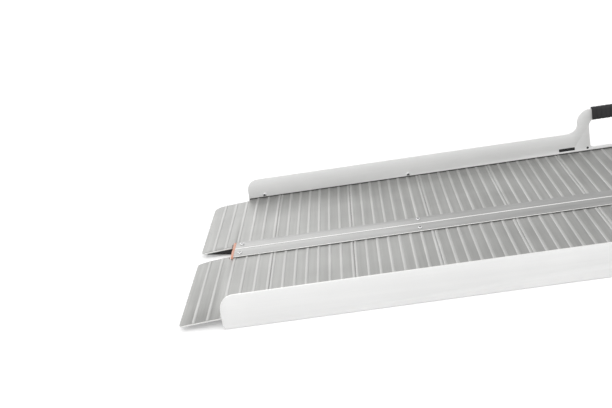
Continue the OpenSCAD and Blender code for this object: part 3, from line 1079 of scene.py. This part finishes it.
def end_cap(name, node):
    """The cap in the place of a CAD node at the top end."""
    low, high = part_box(node)
    piece = block(name, low, high)
    with editing(piece):
        pick("FACE", lambda f: f.normal.x > 0.99 and f.calc_center_bounds().x > strip_end + MM)
        bpy.ops.mesh.inset(thickness=1.6 * MM, depth=0)
        bpy.ops.mesh.inset(thickness=0.4 * MM, depth=-0.8 * MM)
    pin = rod("pin_room", ((low.x + high.x) / 2, 0, PIN_Z), PIN_ROOM_R, 20 * MM, (1, 0, 0))
    combine(piece, pin, "DIFFERENCE")
    soften(piece, 0.5 * MM)
    outward(piece)
    smooth(piece)
    paint_with(piece, cap_plastic)
    print(name, faces_of(piece), "faces")
    return piece


for side in ("far", "near"):
    pattern = end_cap(side + "_cap_pattern", side + "_top_cap")
    for end, way in (("low", -1), ("top", 1)):
        cap = copy_of(pattern, f"{side}_{end}_cap_plug", flip=(way, 1, 1))
        hand_over(cap, f"{side}_{end}_cap")
    bpy.data.objects.remove(pattern)

# %% [markdown]
# ## The feet
# Under each end plank lies a rubber foot. Its sole is flat where the ramp rests and slopes up towards the
# tip, with grooves both ways that grip a wet floor. It is sawn from a block, and the outer part of its sole
# is lifted.

# %% One foot
FOOT_L = 44 * MM
SOLE_L = 24 * MM
SOLE_RISE = (FOOT_L - SOLE_L) * math.tan(math.radians(8))
END_GROOVES = 2
CROSS_GROOVES = 8


def foot(name, node):
    """The foot in the place of a CAD node at the top end, grooved both ways."""
    low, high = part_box(node)
    piece = block(name, low, high)
    with editing(piece):
        cut_at(0, low.x + SOLE_L)
        pick("VERT", lambda v: v.co.z < MM and v.co.x > low.x + SOLE_L + MM)
        bpy.ops.transform.translate(value=(0, 0, SOLE_RISE))
    for groove in range(1, END_GROOVES + 1):
        x = low.x + groove * SOLE_L / (END_GROOVES + 1)
        tool = block("groove", (x - MM, low.y - MM, -MM), (x + MM, high.y + MM, 1.5 * MM))
        combine(piece, tool, "DIFFERENCE")
    for groove in range(1, CROSS_GROOVES + 1):
        y = low.y + (high.y - low.y) * groove / (CROSS_GROOVES + 1)
        tool = block("cross_groove", (low.x - MM, y - 0.8 * MM, -MM), (high.x + MM, y + 0.8 * MM, 1.2 * MM))
        combine(piece, tool, "DIFFERENCE")
    soften(piece, 0.3 * MM, 1)
    return piece


# %% [markdown]
# Each far foot also carries a black strip in the rubber finish, under the side of its tongue that faces the
# fold: painted shade, in the place of the dark gap under the tongue. It thins out as the tongue comes down.
# The near feet have none, because two would meet when the ramp is folded.

# %% The strip of painted shade, and the four feet
SHADE_STRIP_T = 3 * MM
SHADE_STRIP_LOW = 0.6 * MM
SHADE_STRIP_TIP_H = 1.2 * MM


def shade_strip():
    """The black strip of painted shade under the far tongue at the top end."""
    cap_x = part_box("far_top_cap")[1].x + 1.5 * MM
    tip_x = TIP_X - 12 * MM
    # A black strip that stands in for the shade under the tongue.
    piece = block("shade_strip", (cap_x, NOTCH_HALF, SHADE_STRIP_LOW), (tip_x, NOTCH_HALF + SHADE_STRIP_T, PLATE_Z))

    def underside(x):
        return PLATE_Z + 0.2 * MM - (x - KINK_X) * TONGUE_FALL

    with editing(piece):
        for x in (cap_x, tip_x):
            pick("VERT", lambda v: abs(v.co.x - x) < MM and v.co.z > 8 * MM)
            bpy.ops.transform.translate(value=(0, 0, underside(x) - PLATE_Z))
        pick("VERT", lambda v: abs(v.co.x - tip_x) < MM and v.co.z < 5 * MM)
        bpy.ops.transform.translate(value=(0, 0, underside(tip_x) - SHADE_STRIP_TIP_H - SHADE_STRIP_LOW))
    return piece


def finish_foot(piece):
    """Merges, shades and paints a foot."""
    outward(piece)
    smooth(piece)
    paint_with(piece, rubber)
    print(piece.name, faces_of(piece), "faces")


plain_foot = foot("plain_foot_pattern", "far_top_foot")
shade_strip_foot = joined([copy_of(plain_foot, "sole"), shade_strip()], "shade_strip_foot_pattern")
finish_foot(plain_foot)
finish_foot(shade_strip_foot)
for side, pattern, across in (("far", shade_strip_foot, 1), ("near", plain_foot, -1)):
    for end, along in (("low", -1), ("top", 1)):
        pad = copy_of(pattern, f"{side}_{end}_foot_pad", flip=(along, across, 1))
        hand_over(pad, f"{side}_{end}_foot")
    bpy.data.objects.remove(pattern)

# %% [markdown]
# ## The grips
# A rubber sleeve covers the bar of each handle. It starts as a rounded block with rings cut round it where
# the fingers lie, and the rail's bar is then cut out of its middle. The near grip is the far one mirrored.

# %% Grips
RING_COUNT = 8
RING_HALF = 0.9 * MM
RING_DEPTH = 0.8 * MM


def grip(name, node, rail):
    """The grip in the place of a CAD node, round the bar of a rail."""
    low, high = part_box(node)
    piece = block(name, low, high)
    with editing(piece):
        pick("EDGE", lambda e: runs(e, 0))
        round_edges(min(high.y - low.y, high.z - low.z) * 0.42, 6)
        for ring in range(1, RING_COUNT):
            x = low.x + (high.x - low.x) * ring / RING_COUNT
            cut_at(0, x - RING_HALF)
            cut_at(0, x + RING_HALF)

        def on_ring(face):
            share = (face.calc_center_bounds().x - low.x) / (high.x - low.x) * RING_COUNT
            near_ring = abs(share - round(share)) < 0.1 and 0.5 < share < RING_COUNT - 0.5
            return near_ring and abs(face.normal.x) < 0.5

        pick("FACE", on_ring)
        bpy.ops.mesh.extrude_region_shrink_fatten(TRANSFORM_OT_shrink_fatten={"value": -RING_DEPTH})
    combine(piece, copy_of(rail, "bar_copy"), "DIFFERENCE")
    soften(piece, 0.4 * MM)
    outward(piece)
    smooth(piece)
    paint_with(piece, grip_rubber)
    print(name, faces_of(piece), "faces")
    return piece


far_grip = grip("far_grip_sleeve", "far_grip", far_rail)
near_grip = copy_of(far_grip, "near_grip_sleeve", flip=(1, -1, 1))
hand_over(far_grip, "far_grip")
hand_over(near_grip, "near_grip")

# %% [markdown]
# ## What stays as it is
# The hinge and the two centre beams lie under the strips. Their CAD shapes are already right, with true
# bores, so they stay and only get their metal.

# %% CAD pieces that stay
kept = {
    "far_centre_beam": deck_metal,
    "near_centre_beam": deck_metal,
    "far_hinge_knuckles": steel,
    "near_hinge_knuckles": steel,
    "hinge_pin": rivet_metal,
}
for node, finish in kept.items():
    paint_with(frame["nodes"][node], finish)
    print(node, "painted with", finish.name)

# %% [markdown]
# ## Sizes, and the end
# The finished ramp has to be the size of the CAD one, so its box is printed.

# %% Finish
low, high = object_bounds()
print("visual box, mm:", [round(v / MM) for v in (high - low)])
